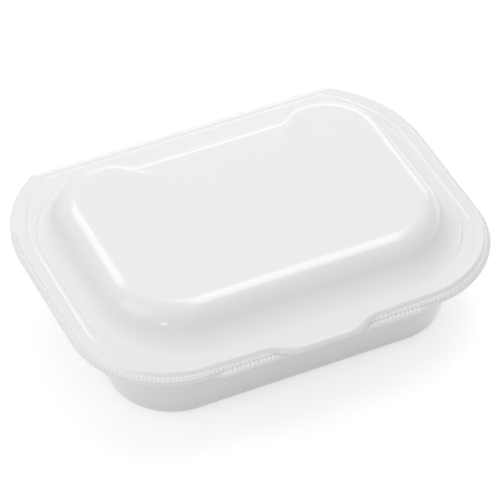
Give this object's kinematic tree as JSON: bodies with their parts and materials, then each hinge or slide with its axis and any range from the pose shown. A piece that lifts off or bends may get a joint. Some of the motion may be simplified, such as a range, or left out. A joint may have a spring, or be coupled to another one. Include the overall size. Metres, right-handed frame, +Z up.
{
  "type": "foam clamshell container",
  "caption": "Shallow foam take-away box with a tapered tray and a domed lid that folds open on a rear hinge and is lifted by a front pull tab.",
  "frame": {"origin": "on the surface it stands on, under the middle of the closed container's box", "axes": "+X along the hinge to the right as seen from the front, +Y from the pull tab to the hinge at the rear, +Z up"},
  "size_m": [0.2, 0.1536, 0.0589],
  "materials": {
    "foam": "off-white pressed foam with a smooth satin skin"
  },
  "bodies": {
    "tray": {"tray": "foam"},
    "lid": {"lid": "foam"}
  },
  "joints": [
    {"name": "lid_hinge", "type": "hinge", "parent": "tray", "child": "lid", "pos_m": [0, 0.07565, 0.0387], "axis": [-1, 0, 0], "range_deg": [0, 180]}
  ]
}
